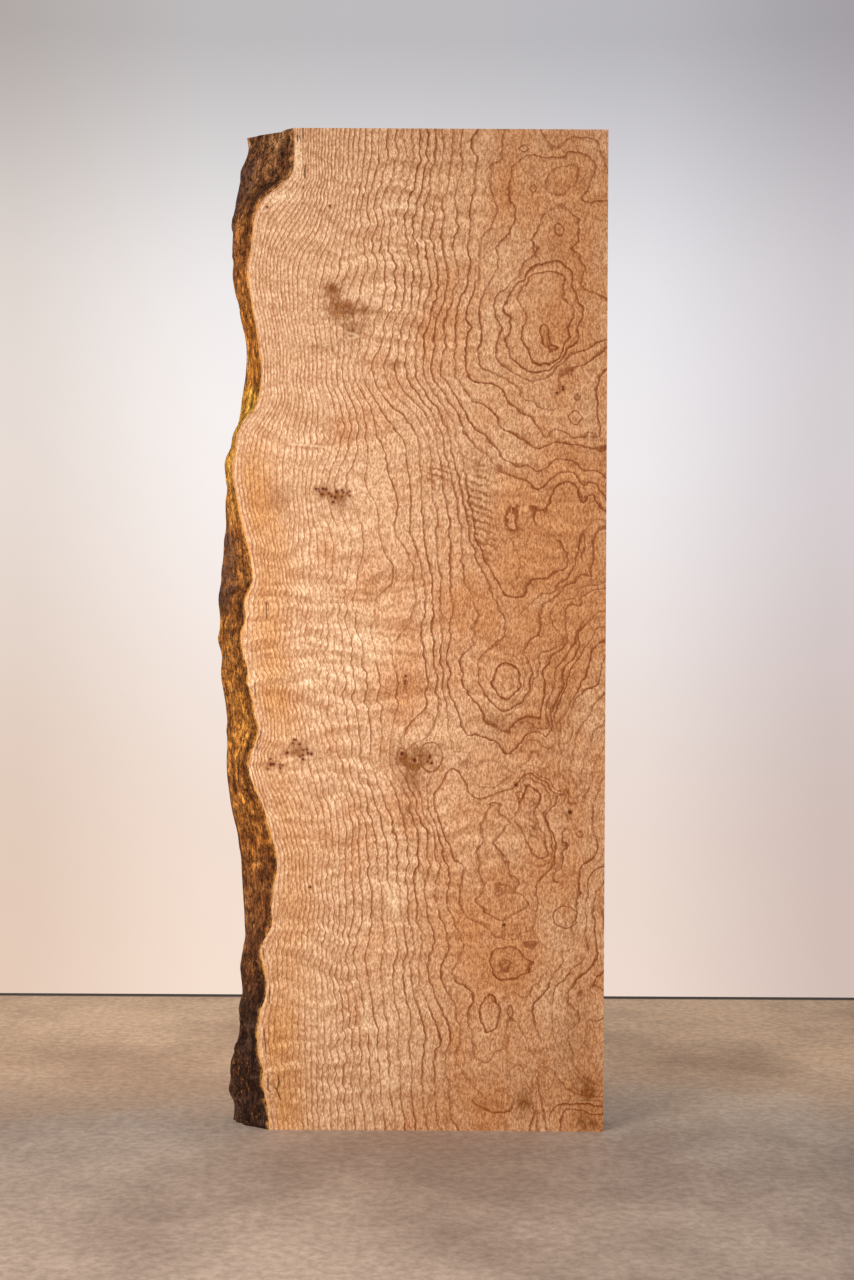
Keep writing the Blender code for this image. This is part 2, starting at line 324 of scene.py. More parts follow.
# The lines of single rings: ring, and the points it runs through
RING_LINES = (
    (27, (
        (462, 129), (460, 150), (462, 165), (460, 180), (455, 190), (453, 200), (456, 215), (456, 230),
        (452, 243), (453, 252), (456, 265), (458, 280), (452, 297), (448, 310), (445, 325), (448, 340),
        (443, 352), (440, 365), (444, 380), (452, 392), (460, 404), (467, 418), (473, 428), (482, 433),
        (490, 440), (497, 450), (500, 458), (508, 464), (520, 466), (530, 468), (539, 473), (548, 468),
        (560, 461), (570, 461), (577, 464), (583, 474), (592, 472), (600, 475), (606, 479),
    )),
    (28, (
        (478, 129), (472, 140), (472, 150), (477, 160), (474, 180), (474, 195), (470, 205), (469, 225),
        (468, 245), (469, 260), (470, 275), (465, 290), (457, 300), (456, 318), (457, 335), (456, 345),
        (453, 360), (454, 375), (461, 385), (466, 390), (471, 400), (480, 404), (490, 410), (497, 417),
        (500, 428), (508, 433), (520, 437), (527, 442), (540, 448), (548, 446), (557, 441), (565, 442),
        (580, 446), (598, 449), (607, 448),
    )),
    (29, (
        (504, 129), (502, 142), (503, 155), (492, 165), (490, 182), (495, 205), (496, 213), (485, 232),
        (480, 240), (479, 267), (475, 290), (466, 313), (471, 327), (466, 345), (466, 368), (470, 380),
        (485, 383), (497, 386), (500, 393), (508, 400), (517, 410), (530, 415), (537, 425), (542, 434),
        (546, 438), (555, 431), (562, 434), (573, 438), (590, 436), (600, 438), (602, 425), (597, 412),
        (597, 395), (598, 380), (607, 371),
    )),
    (30, (
        (525, 156), (515, 163), (510, 172), (509, 192), (513, 205), (514, 218), (510, 230), (502, 238),
        (498, 246), (498, 265), (490, 280), (482, 293), (479, 305), (480, 325), (478, 352), (481, 368),
        (497, 375), (510, 382), (519, 388), (519, 396), (530, 402), (542, 408), (550, 413), (558, 405),
        (564, 392), (573, 375), (590, 360), (607, 348),
    )),
    (30, (
        (525, 156), (533, 155), (545, 157), (555, 158), (567, 158), (570, 153), (580, 155), (588, 156),
        (595, 163), (596, 172), (591, 178), (586, 191), (583, 201), (597, 202), (607, 200),
    )),
    (29, (
        (540, 128), (543, 138), (550, 147), (563, 148), (568, 140), (580, 136), (592, 137), (600, 145),
        (603, 160), (607, 170),
    )),
    (31, (
        (545, 185), (549, 175), (555, 167), (567, 164), (577, 164), (581, 170), (578, 180), (571, 188),
        (565, 194), (557, 193), (549, 190),
    )),
    (31, (
        (502, 325), (497, 317), (495, 308), (503, 292), (522, 273), (535, 258), (538, 255), (530, 250),
        (533, 235), (545, 215), (550, 209), (560, 207), (570, 210), (577, 217), (580, 230), (578, 243),
        (575, 252), (585, 265), (586, 273), (580, 282), (585, 290), (595, 293), (607, 300),
    )),
    (31, (
        (502, 325), (498, 340), (495, 350), (497, 360), (510, 369), (517, 375), (530, 379), (543, 378),
        (550, 375), (557, 367), (568, 358), (580, 353), (597, 343), (607, 341),
    )),
    (32, (
        (503, 302), (504, 312), (512, 318), (508, 333), (506, 345), (513, 360), (525, 369), (540, 373),
        (552, 368), (562, 360), (567, 350),
    )),
    (32, (
        (503, 302), (513, 290), (524, 279), (536, 266), (550, 262), (565, 265), (573, 275), (573, 290),
        (580, 300), (583, 315), (578, 330), (575, 345), (567, 350),
    )),
    (33, (
        (530, 275), (537, 272), (545, 270), (555, 271), (563, 275), (563, 285), (563, 298), (572, 303),
        (574, 312), (572, 322), (567, 330), (568, 342), (564, 352), (558, 360), (550, 365), (545, 366),
        (535, 364), (528, 356), (525, 347), (521, 338), (521, 328), (527, 318), (522, 308), (518, 300),
        (519, 290), (525, 280),
    )),
    (34, (
        (542, 323), (545, 322), (548, 335), (549, 348), (547, 351), (544, 345), (542, 335),
    )),
    (26, (
        (447, 398), (455, 412), (462, 427), (468, 440), (480, 450), (490, 460), (500, 470), (508, 475),
        (520, 478), (530, 482), (539, 490), (548, 482), (560, 474), (570, 472), (577, 477), (583, 487),
        (593, 484), (600, 490), (606, 503),
    )),
    (25, (
        (465, 480), (468, 500), (471, 515), (474, 530), (478, 545), (484, 560), (495, 578), (501, 592),
        (508, 598), (520, 597), (528, 592), (530, 584), (538, 580), (548, 581), (553, 576), (560, 572),
        (567, 572), (569, 560), (566, 550), (560, 543), (550, 540), (547, 533), (543, 520), (545, 510),
        (550, 503), (550, 497), (560, 485), (567, 482), (575, 486), (579, 495), (581, 509), (585, 498),
        (591, 493), (598, 500), (605, 514),
    )),
    (25, (
        (512, 508), (518, 503), (530, 508), (535, 518), (535, 532), (530, 536), (520, 534), (514, 529),
        (513, 520),
    )),
    (24, (
        (606, 528), (597, 533), (594, 547), (592, 565), (590, 577), (580, 575), (576, 583), (565, 585),
        (558, 592), (553, 600), (545, 602), (540, 610), (540, 622), (542, 632), (530, 639), (525, 645),
        (523, 655), (530, 665), (531, 675), (528, 690), (520, 704), (506, 712), (498, 709), (489, 700),
        (481, 690), (477, 677), (480, 660), (488, 648), (500, 642), (504, 635), (503, 620), (498, 605),
        (490, 590), (485, 578), (479, 563), (473, 548), (470, 530), (466, 515), (463, 500), (460, 480),
        (455, 462),
    )),
    (25, (
        (506, 663), (514, 666), (519, 675), (519, 686), (515, 696), (507, 700), (499, 697), (494, 688),
        (493, 677), (498, 667),
    )),
    (23, (
        (607, 588), (596, 590), (588, 592), (583, 598), (580, 606), (570, 605), (566, 612), (566, 625),
        (568, 640), (557, 653), (549, 657), (548, 665), (542, 675), (545, 697), (541, 722), (527, 718),
        (520, 722), (505, 732), (487, 722), (473, 700), (465, 692), (462, 683), (461, 667), (456, 661),
        (462, 653), (470, 647), (475, 635), (469, 627), (478, 618), (473, 603), (470, 590), (463, 580),
        (461, 560), (461, 540), (459, 520), (457, 500), (453, 480), (448, 460),
    )),
    (22, (
        (607, 610), (598, 612), (590, 622), (580, 630), (578, 642), (575, 658), (565, 665), (563, 673),
        (562, 687), (554, 710), (552, 723), (550, 738), (543, 742), (540, 733), (532, 733), (525, 737),
        (515, 752), (507, 755), (496, 743), (482, 738), (475, 735), (467, 738), (462, 723), (455, 707),
        (448, 690), (447, 657), (449, 630), (452, 610), (449, 590), (451, 570), (449, 550), (448, 520),
        (445, 500), (442, 480),
    )),
    (21, (
        (607, 640), (595, 650), (588, 668), (583, 685), (572, 700), (567, 712), (560, 722), (561, 743),
        (562, 760), (562, 772), (555, 775), (547, 767), (540, 755), (535, 750), (528, 757), (522, 766),
        (515, 773), (508, 770), (503, 765), (497, 760), (487, 758), (481, 763), (477, 772), (470, 760),
        (462, 753), (452, 748), (449, 735), (446, 710), (443, 690), (441, 660), (441, 630), (440, 600),
        (440, 580), (437, 560), (436, 540), (437, 520), (433, 500),
    )),
    (20, (
        (607, 690), (597, 700), (588, 715), (577, 735), (573, 755), (570, 775), (572, 792), (580, 780),
        (584, 765), (590, 745), (600, 728), (607, 720),
    )),
    (23, (
        (491, 803), (500, 813), (510, 825), (497, 838), (495, 843), (500, 852), (507, 858),
        (503, 863), (510, 868), (515, 875), (502, 883), (492, 887), (485, 883), (479, 873), (480, 865),
        (477, 857), (480, 845), (483, 838), (482, 820), (486, 808),
    )),
    (23, (
        (513, 808), (517, 815), (522, 830), (528, 843), (532, 852), (537, 858), (543, 862), (550, 858),
        (549, 853), (545, 843), (542, 833), (537, 820), (533, 810), (537, 803), (540, 795), (535, 788),
        (530, 783), (524, 786), (524, 795), (519, 803),
    )),
    (22, (
        (457, 862), (463, 868), (462, 880), (460, 900), (461, 908), (468, 918), (478, 922), (488, 928),
        (497, 938), (510, 937), (520, 933), (533, 928), (536, 913), (537, 897), (535, 888), (540, 878),
        (552, 868), (556, 855), (555, 840), (548, 825), (545, 817), (550, 810), (557, 802), (563, 790),
        (547, 780), (537, 777), (530, 774), (522, 777), (515, 787), (503, 791), (493, 796), (483, 798),
        (475, 796), (468, 786), (460, 771), (453, 767), (446, 775), (440, 785), (433, 800), (436, 815),
        (441, 828), (447, 839), (452, 852),
    )),
    (23, (
        (478, 902), (480, 907), (487, 913), (497, 919), (503, 921), (510, 917), (520, 913), (527, 907),
        (528, 900), (523, 894), (513, 892), (503, 892), (493, 892), (482, 895),
    )),
    (22, (
        (499, 947), (494, 950), (490, 960), (492, 968), (497, 977), (510, 980), (530, 971), (535, 967),
        (528, 962), (521, 955), (520, 949), (507, 948),
    )),
    (21, (
        (607, 765), (600, 785), (593, 803), (594, 830), (597, 855), (590, 862), (582, 870), (580, 888),
        (577, 905), (576, 920), (572, 930), (574, 938), (572, 947), (561, 955), (563, 963), (558, 970),
        (552, 980), (547, 988), (538, 998), (533, 1005), (535, 1017), (533, 1027), (538, 1033),
        (539, 1047), (536, 1054), (530, 1053), (525, 1043), (522, 1032), (517, 1025), (512, 1020),
        (507, 1023), (507, 1033), (508, 1040), (502, 1048), (493, 1057), (485, 1062), (480, 1060),
        (473, 1052), (471, 1043), (473, 1032), (468, 1023), (466, 1017), (470, 1005), (472, 997),
        (470, 990), (463, 985), (455, 980), (452, 975), (457, 963), (461, 953), (462, 943), (457, 930),
        (450, 913), (447, 900), (450, 880), (446, 863), (443, 850), (438, 835), (432, 820), (428, 805),
    )),
    (21, (
        (427, 790), (432, 778), (440, 765), (450, 757), (460, 762), (468, 774), (477, 787), (490, 789),
        (503, 784), (512, 781), (522, 771), (532, 767), (545, 773), (556, 785), (565, 797), (575, 803),
        (584, 795), (589, 780), (594, 765), (600, 752), (607, 742),
    )),
    (20, (
        (607, 880), (600, 885), (594, 900), (593, 913), (597, 935), (597, 952), (594, 965), (583, 975),
        (567, 995), (570, 1003), (577, 1010), (582, 1018), (573, 1028), (565, 1038), (572, 1048),
        (572, 1063), (580, 1073), (590, 1082), (607, 1084),
    )),
    (20, (
        (455, 1060), (462, 1072), (472, 1084), (478, 1093), (473, 1102), (485, 1108), (500, 1112),
        (513, 1107), (515, 1098), (505, 1094), (497, 1090), (505, 1086), (512, 1082), (510, 1072),
        (515, 1066), (521, 1064), (526, 1075), (530, 1092), (533, 1110), (531, 1132),
    )),
    (21, (
        (607, 1096), (590, 1095), (573, 1092), (563, 1082), (553, 1068), (545, 1066), (538, 1070),
        (537, 1078), (540, 1092), (543, 1110), (545, 1132),
    )),
    (22, (
        (560, 1132), (560, 1118), (567, 1107), (580, 1110), (592, 1114), (607, 1110),
    )),
    (22, (
        (487, 995), (495, 1002), (499, 1010), (500, 1018), (497, 1025), (490, 1033), (486, 1033),
        (482, 1026), (479, 1018), (480, 1005), (483, 998),
    )),
)

# How far the wood bulges between those lines: ring, and the points where it is reached
RING_HEIGHTS = (
    (22.5, ((460, 810),)),
    (22.6, ((479, 812), (514, 838), (515, 798), (500, 797), (512, 870),)),
    (23.35, ((496, 820), (528, 800),)),
    (23.5, ((497, 872), (533, 825),)),
    (23.25, ((489, 852), (543, 853),)),
    (23.4, ((505, 905),)),
    (22.6, ((500, 889),)),
    (22.5, ((508, 965), (488, 1014),)),
    (21.85, ((500, 942),)),
    (19.7, ((604, 920), (603, 960),)),
    (19.5, ((595, 1000), (588, 1040),)),
    (20.3, ((500, 1100), (545, 1055),)),
    (19.7, ((522, 1090), (520, 1120),)),
    (21.5, ((505, 1040), (560, 910),)),
    (20.5, ((505, 1072), (560, 1050),)),
    (21.5, ((590, 1103), (560, 1100),)),
    (22.5, ((600, 1128),)),
    (20.6, ((570, 783),)),
    (34.4, ((545, 335),)),
    (33.3, ((543, 290), (550, 308),)),
    (31.5, ((563, 178),)),
    (25.6, ((524, 519),)),
    (25.6, ((488, 520),)),
)
# A stiffer plate passes a little farther from the points read, and bends more evenly
SPLINE_UNIT = 0.1
SPLINE_STIFFNESS = 0.0005
ALMOST_NOTHING = 1e-9
PLACES_AT_ONCE = 2000
SLOPE_STEP = 0.0004
# The last rings before the bark are the narrowest
NARROW_RINGS = 16
NARROWING = 0.020


def pith_rings(x, depth):
    """Rings counted outwards from the pith, in a trunk whose rings are plain cylinders."""
    return np.hypot(x - PITH_X, PITH_DEPTH - depth) / RING_THICKNESS


def traced_rings():
    """All points read off the face, as x and z in metres, and the ring at each, counted inwards."""
    pixels = []
    rings = []
    for row, *columns in RING_ROWS:
        pixels += [(column, row) for column in columns]
        rings += RINGS_READ[: len(columns)]
    for ring, points in RING_LINES + RING_HEIGHTS:
        pixels += points
        rings += [ring] * len(points)
    return np.stack(from_photo(pixels), axis=1), np.array(rings, float)


def spline_bend(from_points, to_points):
    """How a thin plate held at each of to_points bends at from_points."""
    across = (from_points[:, None, 0] - to_points[None, :, 0]) / SPLINE_UNIT
    up = (from_points[:, None, 1] - to_points[None, :, 1]) / SPLINE_UNIT
    square = across * across + up * up + ALMOST_NOTHING
    return square * np.log(square)


class RingField:
    """A thin plate bent through the traced rings: which ring shows at any place on the face."""

    def __init__(self, points, rings):
        count = len(points)
        plate = np.zeros((count + 3, count + 3))
        plate[:count, :count] = spline_bend(points, points) + SPLINE_STIFFNESS * np.eye(count)
        plate[:count, count] = 1
        plate[:count, count + 1 :] = points / SPLINE_UNIT
        plate[count:, :count] = plate[:count, count:].T
        self.points = points
        self.weights = np.linalg.solve(plate, np.append(rings, (0, 0, 0)))

    def at(self, places):
        """The ring at each x and z, counted inwards from the bark."""
        found = np.empty(len(places))
        for start in range(0, len(places), PLACES_AT_ONCE):
            some = places[start : start + PLACES_AT_ONCE]
            flat = np.column_stack((np.ones(len(some)), some / SPLINE_UNIT))
            bent = spline_bend(some, self.points)
            found[start : start + PLACES_AT_ONCE] = np.hstack((bent, flat)) @ self.weights
        return found - NARROWING * np.maximum(NARROW_RINGS - found, 0) ** 2


field = RingField(*traced_rings())

# Over the live edge the rings keep the place that they have at the arris
on_face = np.column_stack((np.maximum(place[:, 0], SAWN_X - arris), place[:, 2]))
rings = field.at(on_face)
aside = field.at(on_face + (SLOPE_STEP, 0))
above = field.at(on_face + (0, SLOPE_STEP))
slope = np.hypot(aside - rings, above - rings) / SLOPE_STEP

# Marks in the wood
# Pin knots, buds that never grew out, small cracks and the stains round them. Like the curl that
# ripples the grain, they are part of the wood itself, seen on the planed face. Among them lie
# painted shade over the top and the foot, and pale bands of painted sheen on the curl.

# One pixel's width on the planed face
PIXEL = CAMERA_DISTANCE / FOCAL_PIXELS
# Brown stains and, where the strength is negative, paler places, some of them bands of painted
# sheen on the curl: column, row, half width, half height and strength. The last two, broad and
# weak over the top and the foot, are painted shade.
STAINS_SHADE_AND_SHEEN = (
    (350, 308, 27, 16, 0.95), (331, 289, 10, 8, 0.80), (353, 331, 11, 7, 0.80),
    (322, 346, 42, 2.6, 0.45), (393, 366, 10, 9, 0.55), (279, 500, 14, 20, 0.50),
    (331, 492.5, 17, 6, 1.10), (340, 505, 10, 9, 0.50), (371, 597, 10, 14, 0.60),
    (377, 572, 10, 6, 0.45), (405, 682, 4, 6, 0.90), (300, 751, 18, 9, 0.80),
    (272, 765, 9, 5, 0.70), (413, 757, 26, 12, 0.95), (412, 780, 16, 15, 0.60),
    (408, 815, 9, 11, 0.60), (526, 584, 15, 9, 0.55), (540, 600, 18, 11, -0.40),
    (298, 158, 4.5, 34, -1.00), (280, 197, 13, 8, -0.80), (588, 1089, 8, 8, 1.30),
    (524, 1104, 7, 13, 0.80), (587, 1122, 13, 9, 0.80), (570, 812, 4, 3, 0.9),
    (500, 725, 32, 22, 0.45), (555, 700, 26, 60, 0.35), (505, 966, 11, 9, 0.40),
    (530, 946, 10, 6, 0.30), (395, 905, 10, 22, -0.70), (366, 1015, 5, 28, -0.60),
    (385, 1075, 6, 22, -0.55), (300, 680, 50, 8, -0.50), (400, 205, 40, 6, -0.45),
    (370, 296, 20, 3.5, -0.70), (345, 640, 70, 50, -0.30), (560, 250, 18, 36, 0.30),
    (545, 335, 5, 14, 0.35), (575, 1040, 26, 56, 0.35), (480, 490, 16, 50, 0.25),
    # Painted shade, broad and weak, over the top and the foot of the face
    (450, 140, 200, 45, 0.24), (430, 1100, 200, 60, 0.26),
)
# Where the grain ripples most: column, row, half width, half height and strength
CURLS = (
    (415, 215, 60, 55, 0.90), (360, 315, 45, 45, 0.50), (420, 320, 60, 40, 0.45),
    (330, 440, 60, 35, 0.35), (300, 640, 70, 90, 1.00), (380, 640, 60, 70, 0.60),
    (330, 800, 70, 60, 0.45), (440, 870, 60, 50, 0.80), (320, 960, 80, 70, 0.55),
    (330, 1080, 80, 60, 0.45), (520, 720, 60, 60, 0.30), (540, 500, 60, 60, 0.35),
)
CURL_EVERYWHERE = 0.15
# Where the wood is warmer and browner: column, row, half width, half height and strength
WARM_PLACES = (
    (562, 590, 44, 110, 0.28), (485, 970, 40, 60, 0.24), (570, 300, 40, 90, 0.10),
    (400, 690, 24, 60, 0.12),
)
# Where short streaks lie across the grain like the ridges of a washboard
COMBS = (
    (438, 474, 20, 14, 1.1), (479, 502, 15, 44, 1.3), (488, 545, 9, 18, 0.9),
    (532, 830, 7, 26, 0.9),
)
# Pin knots: column, row and half width
PIN_KNOTS = (
    (316, 489, 1.2), (318.5, 489, 1.0), (323, 489, 1.6), (326, 489.3, 1.5), (319.5, 491.5, 1.1),
    (322, 494, 1.4), (336.5, 491.7, 1.5), (329, 493.5, 1.3), (331.5, 496.5, 1.2), (335, 497.5, 1.5),
    (342, 490, 1.2), (343.5, 492, 1.0), (342.3, 496.5, 1.2), (347, 493, 1.0), (349.5, 491.5, 1.0),
    (349.5, 495.5, 0.9), (333, 502, 1.5), (271, 764.3, 1.8), (273.2, 764.3, 1.6), (270.5, 759, 1.1),
    (287, 752.7, 1.5), (294, 739.8, 1.2), (296, 739.8, 1.1), (299.3, 744.3, 1.2), (292.8, 743, 1.1),
    (303.5, 750, 1.0), (307, 749.7, 1.2), (308, 753, 1.3), (302.8, 755, 1.2), (311.3, 754, 1.4),
    (300, 756.3, 1.0), (303, 759.2, 1.3), (280.3, 768, 1.1), (280, 765, 0.9), (282.5, 765.5, 0.9),
    (268, 769, 0.9), (402.3, 753.7, 1.9), (414.5, 760.2, 1.9), (429.8, 755.8, 1.3),
    (429.8, 757.6, 1.2), (427.5, 761.5, 1.2), (431.5, 763.2, 1.3), (267, 207, 1.1), (330, 206, 1.1),
    (310, 887, 1.3), (563, 387, 1.2), (563, 389.5, 1.2), (557, 393, 1.3), (504, 925, 1.5),
    (405, 681, 1.0), (405, 683.5, 1.0), (516, 785, 1.5), (570, 812, 1.9), (406, 676, 1.1),
)
# Eyes, where one ring closes round a bud: column, row, half width and half height
EYES = (
    (524, 148, 5, 4), (533, 189, 3.5, 4.5), (559, 230, 5, 7), (577.5, 394, 4, 4), (575, 418, 7, 7),
    (520, 796, 5, 5), (505, 966, 7, 6), (530, 946, 9, 4.5), (431, 757, 11.5, 15), (430, 757, 7, 8),
    (402, 754, 5, 6), (285, 212, 2.6, 2.6), (510, 1012, 3, 6), (582, 545, 3, 12),
    (579.5, 835, 3.5, 4), (565, 917, 13, 11),
)
# Cracks and slits: where each starts and ends, and its half width
SLITS = (
    (297.5, 133, 297.5, 143, 1.0), (305, 166, 305, 176, 0.8), (304, 179, 303, 193, 0.9),
    (303, 129, 303, 137, 0.8), (265, 601, 268, 608, 0.9), (266, 610, 267, 620, 0.8),
    (255, 685, 255, 695, 0.8), (261, 733, 262, 739, 0.9), (257, 744, 257, 750, 0.9),
    (268, 1077, 268, 1091, 0.9), (276, 1088, 280, 1098, 0.9), (277.5, 1074, 280, 1086, 0.9),
    (580, 1100, 603, 1100, 1.2), (262, 940, 264, 958, 0.7), (270, 985, 269, 1003, 0.7),
    (264, 1030, 266, 1052, 0.7),
)
# Pale lines across the grain, painted sheen on bands of the curl: where each starts and ends, and
# its half width
PALE_SHEEN_LINES = (
    (325, 345, 385, 330, 1.0), (290, 444, 326, 447, 1.2), (297, 411, 321, 411, 1.2),
    (345, 297, 386, 293, 1.8), (318, 323, 360, 321, 1.2), (314, 469, 342, 467, 1.2),
    (360, 1008, 392, 1088, 1.8), (386, 884, 400, 920, 2.4),
)


def spots_on_face(spots):
    """The sum of soft spots at each vertex of the board."""
    total = np.zeros(len(place))
    for column, row, half_width, half_height, strength in spots:
        x, z = from_photo([(column, row)])
        across = (place[:, 0] - x) / (half_width * PIXEL)
        up = (place[:, 2] - z) / (half_height * PIXEL)
        total += strength * np.exp(-across * across - up * up)
    return total


def hold(name, values):
    """Keeps a value at each vertex, for the shaders."""
    attribute = board.data.attributes.new(name, "FLOAT", "POINT")
    attribute.data.foreach_set("value", values.astype(np.float32))


def outline_of(spots):
    """How far each vertex of the planed face lies outside the nearest spot, in metres."""
    least = np.ones(len(place))
    for column, row, half_width, half_height in spots:
        x, z = from_photo([(column, row)])
        away = np.hypot((place[:, 0] - x) / half_width, (place[:, 2] - z) / half_height) / PIXEL
        least = np.minimum(least, (away - 1) * min(half_width, half_height) * PIXEL)
    return np.where(depth < FLAT_TOLERANCE, least, 1.0)


def beside(lines):
    """On which side of the nearest line each vertex of the planed face lies, and how far away.

    The side is counted in half widths of the line, and the distance in metres.
    """
    side = np.ones(len(place))
    nearest = np.ones(len(place))
    for column, row, end_column, end_row, half_width in lines:
        x, z = from_photo([(column, row), (end_column, end_row)])
        length = np.hypot(x[1] - x[0], z[1] - z[0])
        right = (x[1] - x[0]) / length
        up = (z[1] - z[0]) / length
        along = (place[:, 0] - x[0]) * right + (place[:, 2] - z[0]) * up
        across = (place[:, 0] - x[0]) * up - (place[:, 2] - z[0]) * right
        away = np.hypot(across, np.maximum(np.maximum(-along, along - length), 0))
        closer = away < nearest
        side = np.where(closer, across / (half_width * PIXEL), side)
        nearest = np.where(closer, away, nearest)
    return side, np.where(depth < FLAT_TOLERANCE, nearest, 1.0)


hold("ring_shift", rings + pith_rings(on_face[:, 0], 0))
hold("ring_slope", slope)
hold("inside_arris", np.where(depth < FLAT_TOLERANCE, arris - (SAWN_X - place[:, 0]), -depth))
hold("stain_shade_and_sheen", spots_on_face(STAINS_SHADE_AND_SHEEN))
hold("curl", np.minimum(CURL_EVERYWHERE + spots_on_face(CURLS), 1))
hold("warm", spots_on_face(WARM_PLACES))
hold("comb", spots_on_face(COMBS))
hold("outside_eye", outline_of(EYES))
for name, lines in (("slit", SLITS), ("pale", PALE_SHEEN_LINES)):
    side, distance = beside(lines)
    hold(name + "_side", side)
    hold(name + "_distance", distance)

# Planed maple
# Both faces are planed and oiled: creamy sapwood by the live edge, warmer and browner towards the
# middle of the trunk, with thin brown ring lines, bands of curl across them painted as light and
# dark sheen, and fine flecks.


def seen(red, green, blue):
    """A colour as it looks on a screen, 0 to 255, turned into the light that a shader works with."""
    part = np.array((red, green, blue)) / 255
    linear = np.where(part > 0.04045, ((part + 0.055) / 1.055) ** 2.4, part / 12.92)
    return (*linear, 1)


SAPWOOD = seen(229, 185, 147)
YELLOW_SAPWOOD = seen(216, 158, 100)
MIDWOOD = seen(222, 172, 130)
HEARTWOOD = seen(206, 142, 92)
# Brown of the stains, also laid as painted shade over the top and the foot
STAIN_SHADE_BROWN = seen(148, 90, 40)
# Pale places, and the pale bands of painted sheen on the curl
PALE = seen(250, 216, 176)
LINE_BROWN = seen(130, 60, 6)
SAPWOOD_LINE = seen(152, 84, 30)
KNOT_BROWN = seen(98, 36, 4)
CRACK_BROWN = seen(92, 50, 24)
GOLDEN_RIM = seen(228, 166, 84)
# What the wood's colour is multiplied by: one side of a pattern, then the other
SAME = (1, 1, 1)
BROWN_SIDE = (SAME, (0.84, 0.75, 0.64))
PALE_SIDE = (SAME, (1.07, 1.11, 1.15))
FAINT_BROWN_SIDE = (SAME, (0.88, 0.80, 0.72))
# Painted sheen of the curl, dark on one side of each ripple and light on the other
CURL_SHEEN_SHADES = ((0.86, 0.80, 0.75), (1.13, 1.19, 1.25))
PATCH_SHADES = ((1.07, 1.10, 1.13), (0.88, 0.82, 0.75))
FLECK_SHADES = ((0.64, 0.52, 0.40), (1.20, 1.33, 1.46))
COMB_SHADES = ((1.03, 1.05, 1.07), (0.62, 0.48, 0.34))
# Half widths of the ring lines in the sapwood and towards the middle, and of the faint lines
# between them, with the breadths of browner and paler wood on a line's two sides
SAPWOOD_LINE_WIDTH = 0.00060
MIDWOOD_LINE_WIDTH = 0.00120
FAINT_LINE_WIDTH = 0.0009
BROWN_BREADTH = 0.0034
PALE_BREADTH = 0.0026
PALE_EDGE = 0.0004
# How far the rings ripple and wander, and the size of the blotches that they do it in
RIPPLE_REACH = 0.0140
RIPPLE_SIZE = (0.045, 0.045, 0.0120)
RIPPLE_AHEAD = (0, 0, 0.35)
TILT_SIZE = 0.08
TILT_REACH = 0.06
WANDER_REACH = 0.0078
WANDER_SIZE = (0.013, 0.013, 0.0110)
# How fast a line's strength changes from ring to ring, and up the board
CHANGE_BY_RING = 0.37
CHANGE_BY_HEIGHT = 14
# How many rings the faint lines lie off the others, at the least, and how many more at the most
FAINT_OFF = -0.3
FAINT_DRIFT = 1.6
INWARD_WARMTH = 0.24
COMB_SPACING = 0.0062
COMB_SLANT = 0.35
COMB_SWAY = 0.012
EYE_SWAY = 0.003
FLECK_DEPTH = 0.00006


class Nodes:
    """Adds nodes to a tree, each fed by numbers, colours or the outputs of other nodes."""

    def __init__(self, tree):
        self.tree = tree

    def add(self, kind, inputs=(), **settings):
        """Makes a node with these settings, and feeds its inputs, by number or by name."""
        node = self.tree.nodes.new(kind)
        for name, value in settings.items():
            setattr(node, name, value)
        for key, value in dict(inputs).items():
            if isinstance(value, bpy.types.NodeSocket):
                self.tree.links.new(value, node.inputs[key])
            else:
                node.inputs[key].default_value = value
        return node

    def sum(self, operation, a, b=0.0, c=0.0, clamp=False):
        """One step of arithmetic."""
        node = self.add("ShaderNodeMath", {0: a, 1: b, 2: c}, operation=operation, use_clamp=clamp)
        return node.outputs[0]

    def away(self, value, middle):
        """How far value is from the middle, to either side."""
        return self.sum("ABSOLUTE", self.sum("SUBTRACT", value, middle))

    def both(self, *shares):
        """The product of shares."""
        product = shares[0]
        for share in shares[1:]:
            product = self.sum("MULTIPLY", product, share)
        return product

    def axes(self, vector):
        """The x, y and z of a vector."""
        return self.add("ShaderNodeSeparateXYZ", {0: vector}).outputs

    def ramp(self, value, start, end, low=0.0, high=1.0):
        """Eases from low to high as value goes from start to end."""
        inputs = {0: value, 1: start, 2: end, 3: low, 4: high}
        return self.add("ShaderNodeMapRange", inputs, interpolation_type="SMOOTHSTEP").outputs[0]

    def mix(self, share, a, b, blend="MIX"):
        """Colour a with this share of colour b."""
        inputs = {0: share, 6: a, 7: b}
        node = self.add("ShaderNodeMix", inputs, data_type="RGBA", blend_type=blend)
        return node.outputs[2]

    def shade(self, colour, value, dark, light):
        """Colour times one between dark, where value is 0, and light, where it is 1."""
        return self.mix(1.0, colour, self.mix(value, (*dark, 1), (*light, 1)), "MULTIPLY")

    def gradient(self, value, stops, easing="LINEAR"):
        """The colour at value, from stops that each give a value and its colour."""
        start = stops[0][0]
        length = stops[-1][0] - start
        share = self.sum("DIVIDE", self.sum("SUBTRACT", value, start), length)
        node = self.add("ShaderNodeValToRGB", {0: share})
        node.color_ramp.interpolation = easing
        while len(node.color_ramp.elements) < len(stops):
            node.color_ramp.elements.new(1.0)
        for stop, (at, colour) in zip(node.color_ramp.elements, stops):
            stop.position = (at - start) / length
            stop.color = colour
        return node.outputs[0]


